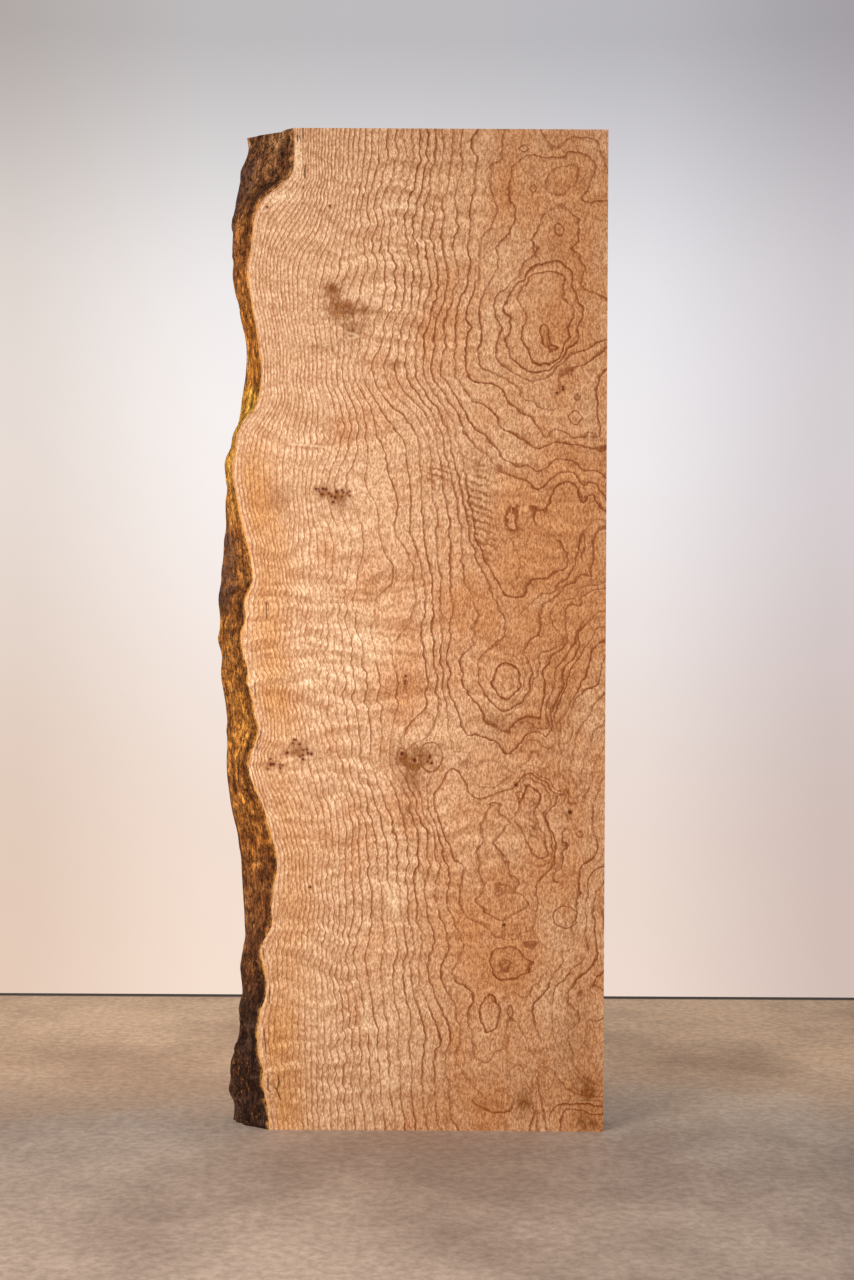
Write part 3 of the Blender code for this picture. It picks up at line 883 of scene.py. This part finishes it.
class Shader(Nodes):
    """The nodes of one material, which reads places on the object itself."""

    def __init__(self, name):
        self.material = bpy.data.materials.new(name)
        self.material.use_nodes = True
        super().__init__(self.material.node_tree)
        self.surface = self.tree.nodes["Principled BSDF"]
        self.place = self.add("ShaderNodeTexCoord").outputs["Object"]

    def attribute(self, name):
        """A value that the mesh holds at each of its points."""
        return self.add("ShaderNodeAttribute", attribute_name=name).outputs["Fac"]

    def blotches(self, sizes, detail=2.0, roughness=0.5, offset=(0, 0, 0), place=None):
        """Noise from 0 to 1 whose blotches are sizes metres long along x, y and z."""
        scale = [1 / size for size in sizes]
        inputs = {0: place or self.place, 1: scale, 2: offset}
        scaled = self.add("ShaderNodeVectorMath", inputs, operation="MULTIPLY_ADD").outputs[0]
        inputs = {"Vector": scaled, "Scale": 1.0, "Detail": detail, "Roughness": roughness}
        return self.add("ShaderNodeTexNoise", inputs).outputs[0]

    def swing(self, sizes, **settings):
        """Noise like blotches, from -0.5 to 0.5."""
        return self.sum("SUBTRACT", self.blotches(sizes, **settings), 0.5)

    def warped(self, size, reach):
        """The place on the object, moved about by reach metres in blotches of this size."""
        x, y, z = self.axes(self.place)
        aside = self.swing((size,) * 3, detail=1.0, offset=(7, 7, 7))
        up = self.swing((size,) * 3, detail=1.0)
        x = self.sum("MULTIPLY_ADD", aside, reach, x)
        z = self.sum("MULTIPLY_ADD", up, reach, z)
        return self.add("ShaderNodeCombineXYZ", {0: x, 1: y, 2: z}).outputs[0]

    def bump(self, height, distance):
        """Relief of this height, in distance metres."""
        inputs = {"Height": height, "Distance": distance, "Strength": 1.0}
        return self.add("ShaderNodeBump", inputs).outputs["Normal"]

    def finish(self, colour, normal, roughness, shine=0.5):
        """Gives the surface its colour, relief and polish."""
        self.tree.links.new(colour, self.surface.inputs["Base Color"])
        self.tree.links.new(normal, self.surface.inputs["Normal"])
        self.surface.inputs["Roughness"].default_value = roughness
        self.surface.inputs["Specular IOR Level"].default_value = shine


def ring_number(shader, slope, curl):
    """Which ring shows at each place, and whether a ripple of the curl rises or falls there."""
    x, y, _ = shader.axes(shader.place)
    aside = shader.sum("SUBTRACT", x, PITH_X)
    behind = shader.sum("SUBTRACT", PITH_DEPTH + FRONT_Y, y)
    square = shader.sum("MULTIPLY_ADD", aside, aside, shader.sum("MULTIPLY", behind, behind))
    away = shader.sum("SQRT", square)
    ring = shader.sum("MULTIPLY_ADD", away, -1 / RING_THICKNESS, shader.attribute("ring_shift"))
    tilted = shader.warped(TILT_SIZE, TILT_REACH)
    ripple = shader.swing(RIPPLE_SIZE, detail=1.0, place=tilted)
    wander = shader.swing(WANDER_SIZE, detail=3.0, offset=(3, 1, 7))
    # The rings wander little in the sapwood and most towards the middle of the trunk
    wandering = shader.ramp(x, -0.10, 0.08, WANDER_REACH * 0.12, WANDER_REACH * 1.15)
    moved = shader.sum("MULTIPLY_ADD", wander, wandering, shader.both(ripple, curl, RIPPLE_REACH))
    ahead = shader.swing(RIPPLE_SIZE, detail=1.0, offset=RIPPLE_AHEAD, place=tilted)
    rising = shader.sum("SUBTRACT", ahead, ripple)
    return shader.sum("MULTIPLY_ADD", moved, slope, ring), rising


def ring_line(shader, ring, slope, half_width):
    """How dark the ring line is, how brown and how pale the wood beside it, and the ring's number."""
    number = shader.sum("ROUND", ring)
    off = shader.sum("DIVIDE", shader.sum("SUBTRACT", ring, number), slope)
    outer = shader.ramp(off, shader.sum("MULTIPLY", half_width, -0.8), 0.0)
    inner = shader.ramp(off, 0.0, shader.sum("MULTIPLY", half_width, 2.0), 1.0, 0.0)
    brown = shader.both(outer, shader.ramp(off, 0.0, BROWN_BREADTH, 1.0, 0.0))
    pale = shader.ramp(off, -PALE_BREADTH, -PALE_EDGE)
    pale = shader.both(pale, shader.ramp(off, -PALE_EDGE, 0.0, 1.0, 0.0))
    return shader.both(outer, inner), brown, pale, number


def held_line(shader, name, reach):
    """How much of the lines held under this name shows."""
    side = shader.sum("ABSOLUTE", shader.attribute(name + "_side"))
    near = shader.ramp(shader.attribute(name + "_distance"), reach, reach / 2)
    return shader.both(shader.ramp(side, 1.3, 0.4), near)


def outside_knots(shader, knots, place):
    """Distance from the rim of the nearest pin knot, in metres, and below zero inside it."""
    least = 1.0
    for column, row, half_width in knots:
        x, z = from_photo([(column, row)])
        inputs = {0: place, 1: (x[0], FRONT_Y, z[0])}
        apart = shader.add("ShaderNodeVectorMath", inputs, operation="DISTANCE").outputs["Value"]
        apart = shader.sum("SUBTRACT", apart, half_width * PIXEL)
        least = shader.sum("MINIMUM", least, apart)
    return least


planed = Shader("planed_maple")
x, _, z = planed.axes(planed.place)
slope = planed.attribute("ring_slope")
curl = planed.attribute("curl")
stain_shade_and_sheen = planed.attribute("stain_shade_and_sheen")
inside = planed.sum("ABSOLUTE", planed.attribute("inside_arris"))
ring, rising = ring_number(planed, slope, curl)
half_width = planed.ramp(x, -0.10, 0.07, SAPWOOD_LINE_WIDTH, MIDWOOD_LINE_WIDTH)
line, brown, pale, number = ring_line(planed, ring, slope, half_width)

# The lines are now stronger and now weaker, and lost in pale places and where the rings lie flat
by_ring = planed.sum("MULTIPLY", number, CHANGE_BY_RING)
by_height = planed.sum("MULTIPLY", z, CHANGE_BY_HEIGHT)
along_ring = planed.add("ShaderNodeCombineXYZ", {0: by_ring, 2: by_height}).outputs[0]
change = {"Vector": along_ring, "Scale": 1.0, "Detail": 3.0}
vary = planed.add("ShaderNodeTexNoise", change).outputs[0]
patches = planed.blotches((0.0024, 0.0024, 0.0070), detail=3.0, roughness=0.6, offset=(5, 0, 2))
strength = planed.both(
    planed.ramp(vary, 0.33, 0.60, 0.45, 1.0),
    planed.ramp(x, -0.12, 0.0, 0.80, 1.0),
    planed.ramp(slope, 4.0, 16.0),
    planed.ramp(stain_shade_and_sheen, -0.8, -0.2),
    planed.ramp(patches, 0.32, 0.56, 0.72, 1.0),
)

# The wood's own colour, from the sapwood inwards
inward = planed.ramp(x, -0.13, 0.10)
cloud = planed.blotches((0.05, 0.05, 0.08), detail=4.0, roughness=0.6)
colour = planed.mix(inward, SAPWOOD, MIDWOOD)
warmth = planed.sum("MULTIPLY_ADD", inward, INWARD_WARMTH, cloud)
warmth = planed.sum("ADD", warmth, planed.attribute("warm"))
colour = planed.mix(planed.ramp(warmth, 0.54, 0.96), colour, HEARTWOOD)
# The youngest sapwood is yellow from the foot to the narrow waist of the live edge
yellow_low = planed.ramp(z, 0.17, 0.08, 0.0, 0.9)
yellow_middle = planed.ramp(z, 0.28, 0.38, 0.45, 1.0)
yellow = planed.both(
    planed.ramp(inside, 0.050, 0.020),
    planed.ramp(inside, 0.003, 0.012, 0.3, 1.0),
    planed.sum("MAXIMUM", yellow_low, yellow_middle),
    planed.ramp(z, 0.62, 0.55),
    planed.ramp(cloud, 0.35, 0.6, 0.5, 1.0),
)
colour = planed.mix(yellow, colour, YELLOW_SAPWOOD)
brown_share = planed.both(brown, strength, planed.ramp(x, -0.12, 0.02, 0.75, 0.9))
colour = planed.shade(colour, brown_share, *BROWN_SIDE)
colour = planed.shade(colour, planed.both(pale, strength), *PALE_SIDE)

# Stains and paler places, broken up by blotches, with painted shade over the top and the foot and
# painted sheen on bands of the curl among the paler places
blotch = planed.blotches((0.010, 0.010, 0.010), detail=5.0, roughness=0.7, offset=(3, 7, 1))
stain_and_shade = planed.both(planed.ramp(stain_shade_and_sheen, 0.0, 1.0), planed.ramp(blotch, 0.36, 0.62, 0.45, 1.2))
stain_and_shade = planed.sum("ADD", stain_and_shade, planed.ramp(blotch, 0.58, 0.80, 0.0, 0.30), clamp=True)
colour = planed.mix(stain_and_shade, colour, STAIN_SHADE_BROWN)
paler_and_sheen = planed.both(planed.ramp(stain_shade_and_sheen, 0.0, -1.0), planed.ramp(blotch, 0.3, 0.55, 0.5, 0.9))
colour = planed.mix(paler_and_sheen, colour, PALE)

# Painted sheen in light and dark bands of the curl, patches and flecks along the grain, and the
# ridges like a washboard's
colour = planed.shade(colour, planed.ramp(planed.both(rising, curl), -0.10, 0.10), *CURL_SHEEN_SHADES)
colour = planed.shade(colour, planed.ramp(patches, 0.34, 0.66), *PATCH_SHADES)
fleck = planed.blotches((0.0013, 0.0013, 0.0027), detail=3.0, roughness=0.75)
flecked = planed.both(planed.ramp(fleck, 0.36, 0.64), planed.ramp(x, -0.13, 0.0, 0.82, 1.0))
colour = planed.shade(colour, flecked, *FLECK_SHADES)
across_grain = planed.sum("MULTIPLY_ADD", x, COMB_SLANT, z)
sway = planed.sum("SUBTRACT", blotch, 0.5)
across_grain = planed.sum("MULTIPLY_ADD", sway, COMB_SWAY, across_grain)
wave = planed.sum("SINE", planed.sum("MULTIPLY", across_grain, 2 * np.pi / COMB_SPACING))
comb = planed.both(
    planed.ramp(wave, -0.5, 0.9),
    planed.ramp(planed.attribute("comb"), 0.1, 1.0),
    planed.ramp(patches, 0.3, 0.5, 0.4, 1.0),
)
colour = planed.shade(colour, comb, *COMB_SHADES)

# Ring lines, and fainter lines between them towards the middle of the trunk
line_colour = planed.mix(planed.ramp(x, -0.12, 0.0), SAPWOOD_LINE, LINE_BROWN)
colour = planed.mix(planed.both(line, strength), colour, line_colour)
drift = planed.blotches((0.028, 0.028, 0.040), detail=1.0, offset=(2, 5, 5))
off = planed.sum("MULTIPLY_ADD", drift, FAINT_DRIFT, FAINT_OFF)
between = planed.sum("ADD", off, ring)
faint_line, faint_brown, _, _ = ring_line(planed, between, slope, FAINT_LINE_WIDTH)
faint = planed.both(
    planed.ramp(x, 0.05, 0.14),
    planed.ramp(z, 0.56, 0.48, 0.0, 0.9),
    planed.ramp(vary, 0.38, 0.55, 0.3, 1.0),
    planed.ramp(slope, 5.0, 24.0),
)
colour = planed.mix(planed.both(faint_line, faint), colour, LINE_BROWN)
colour = planed.shade(colour, planed.both(faint_brown, faint), *FAINT_BROWN_SIDE)

# Eyes, pale lines of painted curl sheen, pin knots and slits, and the bright rim of the newest
# wood at the arris
shiver = planed.swing((0.005, 0.005, 0.005), detail=2.0)
outside = planed.sum("MULTIPLY_ADD", shiver, EYE_SWAY, planed.attribute("outside_eye"))
eye_line = planed.ramp(planed.sum("ABSOLUTE", outside), 0.0010, 0.0002, 0.0, 0.75)
colour = planed.mix(eye_line, colour, LINE_BROWN)
pale_sheen_line = planed.both(held_line(planed, "pale", 0.004), planed.ramp(blotch, 0.3, 0.6, 0.1, 0.5))
colour = planed.mix(pale_sheen_line, colour, PALE)
knot = outside_knots(planed, PIN_KNOTS, planed.warped(0.003, 0.0010))
colour = planed.mix(planed.ramp(knot, 0.0020, 0.0002, 0.0, 0.55), colour, STAIN_SHADE_BROWN)
colour = planed.mix(planed.ramp(knot, 0.0004, -0.0004), colour, KNOT_BROWN)
colour = planed.mix(planed.both(held_line(planed, "slit", 0.003), 0.85), colour, CRACK_BROWN)
rim_share = planed.both(
    planed.ramp(inside, 0.0022, 0.0004),
    planed.ramp(blotch, 0.42, 0.56),
    planed.ramp(z, 0.80, 0.76, 0.15, 0.7),
)
colour = planed.mix(rim_share, colour, GOLDEN_RIM)
planed.finish(colour, planed.bump(fleck, FLECK_DEPTH), roughness=0.5, shine=0.25)

# Sawn ends and sawn edge
# Cut square across or along the trunk, and sanded. The ends show the rings as arcs and drink more
# oil, so that they are darker; the edge shows them as straight close lines.
SAWN_WOOD = seen(190, 140, 98)
SAWN_DARK = seen(150, 98, 62)
SAWN_LINE_WIDTH = 0.0005
SAWN_CURL = 0.4
SAWN_DEPTH = 0.0001
SAWN_FLECK_SHADES = ((0.80, 0.76, 0.72), (1.14, 1.18, 1.22))

sawn = Shader("sawn_maple")
ring, _ = ring_number(sawn, 1 / RING_THICKNESS, SAWN_CURL)
line = ring_line(sawn, ring, 1 / RING_THICKNESS, SAWN_LINE_WIDTH)[0]
patches = sawn.blotches((0.03, 0.012, 0.05), detail=4.0, roughness=0.6)
colour = sawn.mix(sawn.ramp(patches, 0.35, 0.75), SAWN_WOOD, SAWN_DARK)
fleck = sawn.blotches((0.0008, 0.0008, 0.004), detail=2.0, roughness=0.65)
colour = sawn.shade(colour, sawn.ramp(fleck, 0.3, 0.7), *SAWN_FLECK_SHADES)
colour = sawn.mix(sawn.both(line, 0.7), colour, LINE_BROWN)
sawn.finish(colour, sawn.bump(fleck, SAWN_DEPTH), roughness=0.6, shine=0.3)

# Live edge
# The trunk's own outside: rough dark bark at the top and the foot, and between them the smooth
# golden and olive skin that was under the bark, streaked along the grain.

# Height above the foot, and the colour there
LIVE_COLOURS = (
    (0.010, seen(78, 52, 38)),
    (0.105, seen(78, 50, 34)),
    (0.160, seen(138, 90, 56)),
    (0.250, seen(160, 104, 50)),
    (0.335, seen(186, 128, 60)),
    (0.420, seen(176, 120, 56)),
    (0.455, seen(148, 96, 46)),
    (0.505, seen(186, 126, 66)),
    (0.560, seen(214, 156, 72)),
    (0.600, seen(250, 194, 88)),
    (0.622, seen(255, 206, 92)),
    (0.645, seen(200, 136, 56)),
    (0.700, seen(196, 132, 58)),
    (0.755, seen(192, 128, 70)),
    (0.805, seen(148, 100, 60)),
    (0.855, seen(154, 112, 80)),
)
GOLD_SPECKS = seen(184, 122, 62)
PURPLE_BARK = seen(92, 68, 60)
CRACK_SHADE_BLACK = seen(26, 16, 12)
BAND_SHADES = ((0.52, 0.44, 0.38), (1.42, 1.44, 1.36))
LUMP_SHADES = ((0.66, 0.58, 0.52), (1.26, 1.28, 1.26))
MOTTLE_SHADES = ((0.44, 0.38, 0.34), (1.56, 1.56, 1.54))
STREAK_SHADES = ((0.45, 0.40, 0.36), (1.55, 1.55, 1.50))
PURPLE_SHADES = ((0.5, 0.5, 0.5), (1.5, 1.4, 1.35))
ARRIS_SHADOW = (0.42, 0.36, 0.32)
WAIST = 0.60  # height where the live edge is narrowest and has no shadow by the arris
COLOUR_SWAY = 0.05  # how far up and down the colours by height stray
BARK_DEPTH = 0.0026

live = Shader("live_edge")
_, y, z = live.axes(live.place)
deep = live.sum("SUBTRACT", y, FRONT_Y)
wander = live.blotches((0.010, 0.010, 0.020), detail=3.0)
level = live.sum("SUBTRACT", z, FOOT_Z)
level = live.sum("MULTIPLY_ADD", live.sum("SUBTRACT", wander, 0.5), COLOUR_SWAY, level)
colour = live.gradient(level, LIVE_COLOURS)

# Long bands and short lumps of the grain, then the mottling and fine streaks
swaying = live.warped(0.03, 0.008)
band = live.blotches((1, 0.0050, 0.060), detail=3.0, roughness=0.6, place=swaying)
lump = live.blotches((1, 0.016, 0.012), detail=3.0, roughness=0.55, offset=(0, 6, 3), place=swaying)
mottle = live.blotches((0.005, 0.005, 0.006), detail=4.0, roughness=0.7, offset=(4, 0, 2))
streak = live.blotches((0.0015, 0.0015, 0.009), detail=4.0, roughness=0.65)
colour = live.shade(colour, live.ramp(band, 0.34, 0.66), *BAND_SHADES)
colour = live.shade(colour, live.ramp(lump, 0.34, 0.66), *LUMP_SHADES)
colour = live.shade(colour, live.ramp(mottle, 0.32, 0.68), *MOTTLE_SHADES)
colour = live.shade(colour, live.ramp(streak, 0.30, 0.70), *STREAK_SHADES)

# Purple-brown bark towards the rim, near the top and half way up, painted shadow in a strip just
# behind the arris, and patches of purple bark at the foot, lighter on the lumps as painted highlight
purple = live.shade(PURPLE_BARK, live.ramp(streak, 0.3, 0.7), *PURPLE_SHADES)
high = live.both(
    live.ramp(deep, 0.016, 0.024), live.ramp(z, 0.72, 0.77), live.ramp(z, 0.85, 0.83)
)
half_way = live.both(
    live.ramp(deep, 0.012, 0.018), live.ramp(z, 0.440, 0.46), live.ramp(z, 0.525, 0.51)
)
outer = live.both(live.sum("MAXIMUM", high, half_way), live.ramp(mottle, 0.42, 0.52), 0.8)
colour = live.mix(outer, colour, purple)
# Painted shadow on the live edge in a strip just behind the arris, though not at the waist
shadow = live.both(
    live.ramp(deep, 0.0008, 0.0028),
    live.ramp(deep, 0.0110, 0.0050),
    live.ramp(live.away(z, WAIST), 0.03, 0.07),
    0.6,
)
colour = live.shade(colour, shadow, SAME, ARRIS_SHADOW)
# Purple-grey bark on the crests of the lumps at the foot, partly painted highlight
foot_bark_and_highlight = live.both(
    live.ramp(lump, 0.50, 0.62), live.ramp(mottle, 0.36, 0.56), live.ramp(z, 0.12, 0.08), 0.7
)
colour = live.mix(foot_bark_and_highlight, colour, purple)

# Golden specks and cracks in the bark, dark and deepened to black by painted shade, and the bright
# rim of wood at the arris
bark = live.sum("MAXIMUM", live.ramp(z, 0.19, 0.13), live.ramp(z, 0.79, 0.815))
speck = live.blotches((0.0034, 0.0034, 0.0042), detail=5.0, roughness=0.75, offset=(1, 8, 2))
gold = live.both(live.ramp(speck, 0.54, 0.66), live.ramp(wander, 0.46, 0.60), bark)
colour = live.mix(gold, colour, GOLD_SPECKS)
crackle = live.blotches((0.004, 0.004, 0.009), detail=5.0, roughness=0.6, offset=(2, 2, 9))
crack = live.ramp(live.away(crackle, 0.5), 0.0, 0.025, 1.0, 0.0)
# The cracks' dark colour, deepened to black as painted shade
colour = live.mix(live.both(crack, live.ramp(bark, 0.0, 1.0, 0.35, 0.9)), colour, CRACK_SHADE_BLACK)
rim = live.both(
    live.ramp(deep, 0.0022, 0.0004),
    live.ramp(mottle, 0.40, 0.56),
    live.ramp(z, 0.80, 0.76, 0.2, 0.8),
)
colour = live.mix(rim, colour, GOLDEN_RIM)

# Cracks lie low, and lumps, mottles, specks and streaks stand up
rough = live.sum("MULTIPLY_ADD", crack, -0.6, live.sum("MULTIPLY_ADD", speck, 0.4, streak))
coarser = live.sum("MULTIPLY_ADD", lump, 2.0, live.sum("MULTIPLY", mottle, 1.4))
rough = live.sum("ADD", rough, coarser)
live.finish(colour, live.bump(rough, BARK_DEPTH), roughness=0.7, shine=0.15)

# Each face of the mesh takes the material of its side of the board
PLANED_FACE, SAWN_FACE, LIVE_FACE = range(3)
SHARPEST_SMOOTH_TURN = np.radians(50)

for shader in (planed, sawn, live):
    board.data.materials.append(shader.material)
for face in board.data.polygons:
    across, back, up = face.center
    if max(FOOT_Z - up, up - TOP_Z, across - SAWN_X) > -FLAT_TOLERANCE:
        face.material_index = SAWN_FACE
    elif FRONT_Y + FLAT_TOLERANCE < back < BACK_Y - FLAT_TOLERANCE:
        face.material_index = LIVE_FACE
    else:
        face.material_index = PLANED_FACE
bpy.ops.object.shade_smooth_by_angle(angle=SHARPEST_SMOOTH_TURN)
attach(board, "root")
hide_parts("maple_board")

# Floor
# Pale, smooth-trowelled concrete that ends at the foot of a white wall behind the board.
FLOOR_SIZE = 6.0
WALL_BEHIND = 0.565
CONCRETE = seen(250, 214, 178)
CONCRETE_DARK = seen(202, 168, 139)
GRIT_SHADES = ((0.80, 0.78, 0.76), (1.14, 1.14, 1.14))
PIT_SHADES = (SAME, (0.72, 0.70, 0.68))
# Painted shade: darker in front of the board, towards the camera, most on the left
SHADE_NEAR_LEFT = (0.49, 0.55, 0.67, 1)
SHADE_NEAR_RIGHT = (0.62, 0.72, 0.90, 1)
UNSHADED = (1, 1, 1, 1)
SHADE_START = -0.05
SHADE_END = 0.25
SHADE_SWAY = 0.6
GRIT_DEPTH = 0.0004
# Painted shadow: a dark strip along the foot of the wall, where the gap under it lies in shade
GAP_SHADOW = seen(60, 48, 40)
GAP_SHADOW_START = WALL_BEHIND - 0.020
GAP_SHADOW_END = WALL_BEHIND - 0.012

bpy.ops.object.select_all(action="DESELECT")
middle = (0, WALL_BEHIND - FLOOR_SIZE / 2, FOOT_Z)
bpy.ops.mesh.primitive_plane_add(size=FLOOR_SIZE, location=middle)
floor = bpy.context.object
floor.name = "floor"
bpy.ops.object.transform_apply(location=True, rotation=True, scale=True)
concrete = Shader("concrete")
across, back, _ = concrete.axes(concrete.place)
cloud = concrete.blotches((0.30, 0.30, 0.30), detail=8.0, roughness=0.66)
grit = concrete.blotches((0.008, 0.008, 0.008), detail=5.0, roughness=0.7)
pit = concrete.blotches((0.016, 0.016, 0.016), detail=3.0, roughness=0.6, offset=(5, 1, 0))
colour = concrete.mix(concrete.ramp(cloud, 0.36, 0.64), CONCRETE, CONCRETE_DARK)
colour = concrete.shade(colour, concrete.ramp(grit, 0.32, 0.68), *GRIT_SHADES)
colour = concrete.shade(colour, concrete.ramp(pit, 0.70, 0.76), *PIT_SHADES)
# Painted shade over the floor in front of the board, deepest on the left
front = concrete.sum("MULTIPLY_ADD", concrete.sum("SUBTRACT", cloud, 0.5), SHADE_SWAY, back)
near = concrete.mix(concrete.ramp(across, -0.4, 0.4), SHADE_NEAR_LEFT, SHADE_NEAR_RIGHT)
near = concrete.mix(concrete.ramp(front, SHADE_START, SHADE_END), near, UNSHADED)
colour = concrete.mix(1.0, colour, near, "MULTIPLY")
# Painted shadow of the gap at the foot of the wall
colour = concrete.mix(concrete.ramp(back, GAP_SHADOW_START, GAP_SHADOW_END), colour, GAP_SHADOW)
concrete.finish(colour, concrete.bump(grit, GRIT_DEPTH), roughness=0.7)
floor.data.materials.append(concrete.material)

# Light
# A large soft lamp stands in front of the board, to its left, in a bright white room. Seen behind
# the board, the room is the wall, with painted light and shade: brightest at the middle, darker
# towards the top and the sides, and warmer towards the floor.
KEY_PLACE = Vector((-0.62, -0.79, 0.50))
KEY_AIM = Vector((0.0, 0.0, 0.46))
KEY_SIZE = 0.42
KEY_POWER = 9.3
KEY_COLOUR = (1.0, 0.92, 0.84)
ROOM_COLOUR = (1.0, 0.95, 0.92, 1)
ROOM_STRENGTH = 0.50
WALL_STRENGTH = 1.3
# How far up the view looks, and the wall's colour there, with painted light fading towards the top
WALL_LIGHT_BY_HEIGHT = (
    (-0.20, seen(229, 206, 190)),
    (-0.08, seen(222, 202, 189)),
    (0.05, seen(230, 221, 217)),
    (0.20, seen(230, 225, 224)),
    (0.32, seen(162, 158, 159)),
)
# How far to the right the view looks, and the painted shade that the wall's colour is multiplied by
# there, darker towards the sides
WALL_SIDE_SHADES = (
    (-0.22, (0.75, 0.71, 0.67, 1)),
    (-0.12, (0.96, 0.98, 0.99, 1)),
    (0.12, (0.87, 0.91, 0.96, 1)),
    (0.22, (0.61, 0.60, 0.64, 1)),
)

key = bpy.data.lights.new("key_light", "AREA")
key.size = KEY_SIZE
key.energy = KEY_POWER
key.color = KEY_COLOUR
key_object = bpy.data.objects.new("key_light", key)
key_object.location = KEY_PLACE
key_object.rotation_euler = (KEY_AIM - KEY_PLACE).to_track_quat("-Z", "Y").to_euler()
bpy.context.scene.collection.objects.link(key_object)

world = bpy.data.worlds.new("studio")
world.use_nodes = True
room = world.node_tree.nodes["Background"]
room.inputs["Color"].default_value = ROOM_COLOUR
room.inputs["Strength"].default_value = ROOM_STRENGTH
view = Nodes(world.node_tree)
right, _, up = view.axes(view.add("ShaderNodeTexCoord").outputs["Generated"])
# Painted light and shade on the wall: fading towards the top and the sides
wall_side_shade = view.gradient(right, WALL_SIDE_SHADES, "B_SPLINE")
wall_colour = view.mix(1.0, view.gradient(up, WALL_LIGHT_BY_HEIGHT, "B_SPLINE"), wall_side_shade, "MULTIPLY")
wall = view.add("ShaderNodeBackground", {"Color": wall_colour, "Strength": WALL_STRENGTH})
seen_by_camera = view.add("ShaderNodeLightPath").outputs["Is Camera Ray"]
either = view.add("ShaderNodeMixShader", {0: seen_by_camera, 1: room.outputs[0], 2: wall.outputs[0]})
view.tree.links.new(either.outputs[0], view.tree.nodes["World Output"].inputs["Surface"])
bpy.context.scene.world = world
bpy.context.scene.view_settings.view_transform = "Standard"
